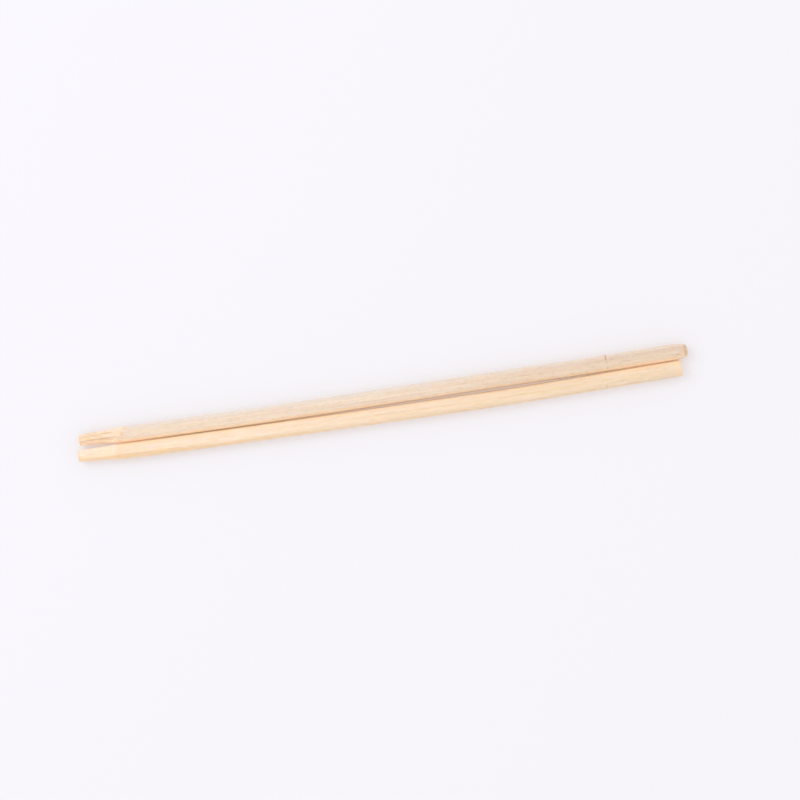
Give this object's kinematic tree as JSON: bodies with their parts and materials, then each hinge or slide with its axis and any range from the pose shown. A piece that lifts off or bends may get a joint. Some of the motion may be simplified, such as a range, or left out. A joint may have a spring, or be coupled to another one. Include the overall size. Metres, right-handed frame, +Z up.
{
  "type": "chopsticks",
  "caption": "Round bamboo chopsticks lying side by side: slender, slightly bowed shanks with short blunt tapered tips and worked butt ends, for lifting food.",
  "frame": {"origin": "middle of the pair's footprint, on the surface it lies on", "axes": "+X along the sticks from the tips to the butt ends, +Y across from the front stick to the rear stick, +Z up"},
  "size_m": [0.2312, 0.0139, 0.0062],
  "materials": {
    "bamboo": "sanded bare bamboo, fine straight fibre streaks, satin"
  },
  "bodies": {
    "root": {"rear_chopstick": "bamboo", "front_chopstick": "bamboo"}
  },
  "joints": []
}
